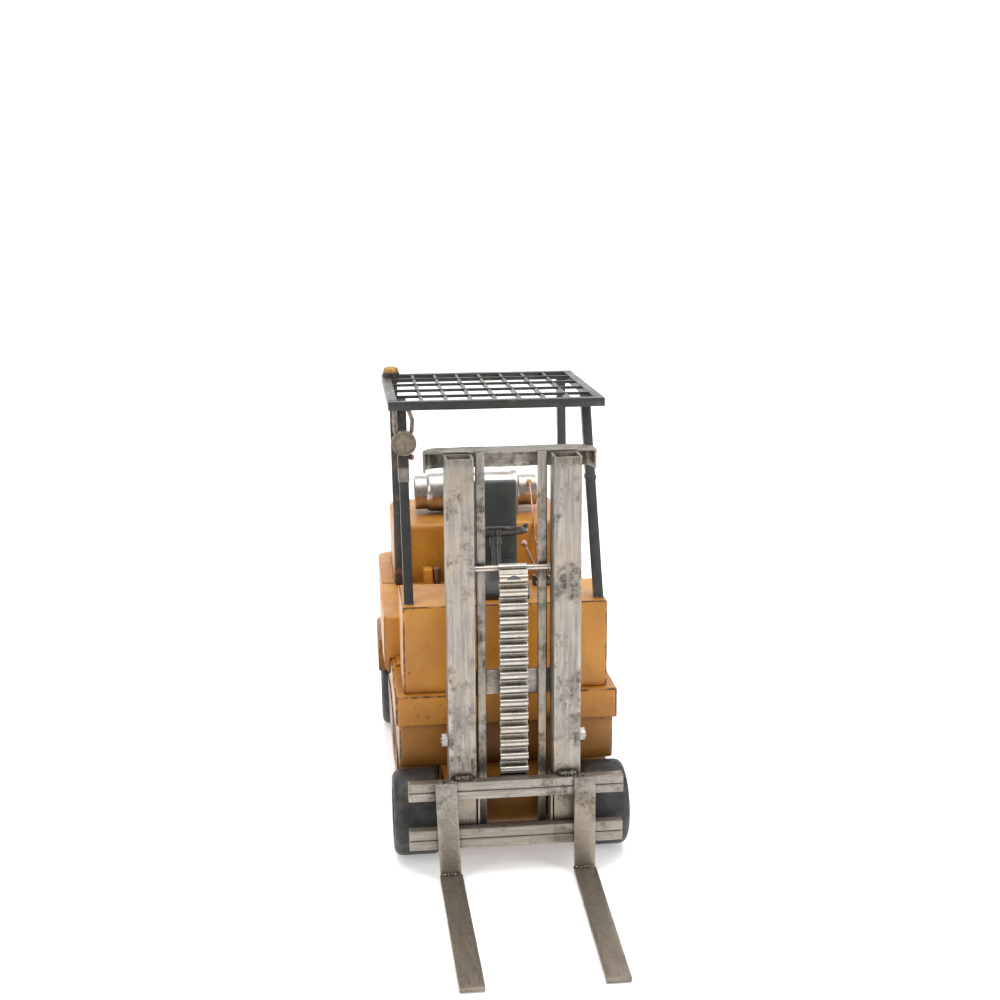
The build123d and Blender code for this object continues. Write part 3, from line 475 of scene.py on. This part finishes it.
def lathe(name, outline, centre, axis, turns=96):
    """Turn a closed outline of (distance along the axis, radius) millimetres about an axis."""
    facing = Vector(axis).to_track_quat("Z", "Y").to_matrix()
    shape = bmesh.new()
    rings = []
    for along, radius in outline:
        ring = []
        for step in range(turns):
            angle = math.tau * step / turns
            spot = Vector((radius * math.cos(angle), radius * math.sin(angle), along))
            ring.append(shape.verts.new(Vector(centre) + facing @ spot * MM))
        rings.append(ring)
    for near, far in zip(rings, rings[1:] + rings[:1]):
        for step in range(turns):
            after = (step + 1) % turns
            shape.faces.new((near[step], near[after], far[after], far[step]))
    bmesh.ops.remove_doubles(shape, verts=shape.verts, dist=0.001 * MM)
    bmesh.ops.recalc_face_normals(shape, faces=shape.faces)
    return put(name, shape, 40)


def arc(centre, radius, start, end, steps=7):
    """Points of an arc, angles in degrees."""
    angles = [math.radians(start + (end - start) * step / steps) for step in range(steps + 1)]
    return [(centre[0] + radius * math.cos(a), centre[1] + radius * math.sin(a)) for a in angles]


def weld_bead(name, ends, y, z, width, body, seed):
    """A lumpy hand-laid bead, level from one x of ends to the other; lengths in millimetres."""
    first, last = (Vector((x, y, z)) * MM for x in ends)
    along = last - first
    pitch = width * 0.55 * MM
    steps = max(8, int(along.length / pitch) * 4)
    facing = along.to_track_quat("Z", "Y").to_matrix()
    turns = 12
    shape = bmesh.new()
    rings = []
    for step in range(steps + 1):
        share = step / steps
        ripple = 0.80 + 0.28 * abs(math.sin(math.pi * share * along.length / pitch))
        taper = math.sqrt(max(0.02, 1 - (2 * share - 1) ** 8))
        centre = first + along * share
        ring = []
        for turn in range(turns):
            angle = math.tau * turn / turns
            spot = centre + facing @ Vector((math.cos(angle), math.sin(angle), 0)) * width / 2 * MM
            lump = 1 + 0.35 * noise.noise(spot / (0.9 * MM) + Vector((seed, 0, 0)))
            ring.append(shape.verts.new(centre + (spot - centre) * ripple * taper * lump))
        rings.append(ring)
    for near, far in zip(rings, rings[1:]):
        for turn in range(turns):
            after = (turn + 1) % turns
            shape.faces.new((near[turn], near[after], far[after], far[turn]))
    shape.faces.new(rings[0][::-1])
    shape.faces.new(rings[-1])
    bmesh.ops.recalc_face_normals(shape, faces=shape.faces)
    bead = put(name, shape, 60)
    bead.data.materials.append(WELD)
    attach(bead, body)


# ---- sheet metal and bars -----------------------------------------------------------------
for node in ("lower_body", "running_board", "front_cowl"):
    hand_formed(node, fold=0.6, dent=0.30, rub=True)
for node in ("engine_hood", "counterweight", "side_steps"):
    hand_formed(node, fold=0.6, dent=0.30)
hand_formed("chassis_tub", fold=0.4, dent=0.16)
hand_formed("mast_tubes", fold=0.15, dent=0.10, cell=4.0, wave=12.0)
hand_formed("mast_top_beam", fold=0.2, dent=0.26, cell=2.5, wave=7.0)
for node in ("carriage_bars", "fork_left", "fork_right"):
    hand_formed(node, fold=0.22, dent=0.10, cell=3.0, wave=8.0)
for node in ("roof_frame", "guard_posts"):
    hand_formed(node, fold=0.35, dent=0.08, cell=4.0, wave=14.0)
for node in ("dashboard", "seat_back", "seat_cushion"):
    hand_formed(node, fold=0.5, dent=0.16)


# ---- wheels -------------------------------------------------------------------------------
def make_tyre(end, side_name):
    """Plain tyre with round shoulders and a fine groove round each wall."""
    node = f"{end}_tyre_{side_name}"
    low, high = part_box(node)
    centre = (low + high) / 2
    radius = (high.z - low.z) / 2 / MM
    half = (high.x - low.x) / 2 / MM
    bore = radius - 7.5
    shoulder = 3.4
    groove = 0.25
    inner, middle, outer = bore + 1.4, bore + 1.7, bore + 2.0
    outline = [(-half, bore), (-half, inner), (-half + groove, middle), (-half, outer)]
    outline += arc((-half + shoulder, radius - shoulder), shoulder, 180, 90)
    outline += arc((half - shoulder, radius - shoulder), shoulder, 90, 0)
    outline += [(half, outer), (half - groove, middle), (half, inner), (half, bore)]
    tyre = lathe(f"{node}_moulded", outline, centre, (1, 0, 0))
    dress(tyre, node)
    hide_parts(node)


for end in ("front", "rear"):
    for side_name, _ in SIDES:
        make_tyre(end, side_name)


# ---- welds --------------------------------------------------------------------------------
# Where the beads lie, in millimetres: fork bends, carriage bar, top beam, inner rails, post feet.
HEEL_Y, HEEL_Z = -61.2, 2.5
BAR_TOP_Z = 42.3
BEAM_FOOT_Z = 168.3
RAIL_TOP_Z = 167.2
POST_X, POST_Y, POST_FOOT_Z = 41.1, -18.9, 106.9


def lay_welds():
    """Beads where the real pieces are welded; lengths in millimetres."""
    bar_low, bar_high = (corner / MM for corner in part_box("carriage_bars"))
    _, tube_high = (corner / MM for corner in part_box("mast_tubes"))
    for number, (side_name, side) in enumerate(SIDES):
        fork_low, fork_high = (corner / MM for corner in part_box(f"fork_{side_name}"))
        fork_x = (fork_low.x + fork_high.x) / 2
        post_x = side * POST_X
        weld_bead(f"weld_fork_heel_{side_name}", (fork_x - 3.9, fork_x + 3.9), HEEL_Y, HEEL_Z,
                  1.5, "carriage", number)
        weld_bead(f"weld_fork_top_{side_name}", (fork_x - 3.6, fork_x + 3.6), bar_low.y, BAR_TOP_Z,
                  1.4, "carriage", 5 + number)
        weld_bead(f"weld_bar_{side_name}", (side * 17.5, side * 25.5), bar_high.y - 1.4, BAR_TOP_Z,
                  3.0, "carriage", 10 + number)
        weld_bead(f"weld_beam_{side_name}", (side * 17.0, side * 26.5), tube_high.y - 0.2, BEAM_FOOT_Z,
                  2.2, "mast", 20 + number)
        weld_bead(f"weld_rail_{side_name}", (side * 10.9, side * 14.6), tube_high.y + 0.2, RAIL_TOP_Z,
                  2.6, "mast", 30 + number)
        weld_bead(f"weld_post_foot_{side_name}", (post_x - 2.2, post_x + 2.2), POST_Y, POST_FOOT_Z,
                  0.9, "chassis", 40 + number)


lay_welds()


# ---- light and floor ----------------------------------------------------------------------
def area_light(name, place, aim, size, power, colour=(1, 1, 1)):
    """A soft rectangular lamp at place, facing aim."""
    data = bpy.data.lights.new(name, "AREA")
    data.shape = "RECTANGLE"
    data.size, data.size_y = size
    data.energy = power
    data.color = colour
    lamp = bpy.data.objects.new(name, data)
    lamp.location = place
    lamp.rotation_euler = (Vector(aim) - Vector(place)).to_track_quat("-Z", "Y").to_euler()
    bpy.context.scene.collection.objects.link(lamp)


def make_floor():
    """A pale glossy sweep: flat under the truck, curved up far behind it."""
    front, back, curve, top, side, steps = -1.6, 1.2, 0.8, 2.6, 2.6, 16
    shape = bmesh.new()
    profile = [(front, 0.0), (back, 0.0)]
    for step in range(1, steps + 1):
        angle = math.pi / 2 * step / steps
        profile.append((back + curve * math.sin(angle), curve - curve * math.cos(angle)))
    profile.append((back + curve, top))
    rows = [[shape.verts.new((x, y, z)) for x in (-side, side)] for y, z in profile]
    for near, far in zip(rows, rows[1:]):
        shape.faces.new((near[0], near[1], far[1], far[0]))
    floor = put("floor", shape, 60)
    look = Look("floor", Specular_IOR_Level=0.5, Emission_Color=(1, 1, 1, 1), Emission_Strength=0.30)
    haze = look.noise(90.0, detail=3)
    floor.data.materials.append(look.finish(look.mix(haze, (0.93, 0.93, 0.93), (0.96, 0.96, 0.955)),
                                            look.span(haze, 0.3, 0.7, 0.16, 0.26)))


make_floor()
world = bpy.data.worlds.new("studio")
bpy.context.scene.world = world
world.use_nodes = True
world.node_tree.nodes["Background"].inputs["Color"].default_value = (1.0, 0.99, 0.975, 1.0)
world.node_tree.nodes["Background"].inputs["Strength"].default_value = 0.45
area_light("overhead", (0, 0.1, 1.6), (0, 0.1, 0), (1.8, 1.8), 26)
area_light("left", (-1.0, -0.7, 0.8), (0, 0, 0.09), (0.8, 0.8), 7, (1.0, 0.975, 0.94))
area_light("right", (1.0, -0.9, 0.7), (0, 0, 0.09), (0.6, 0.9), 9)
bpy.context.scene.view_settings.view_transform = "Standard"
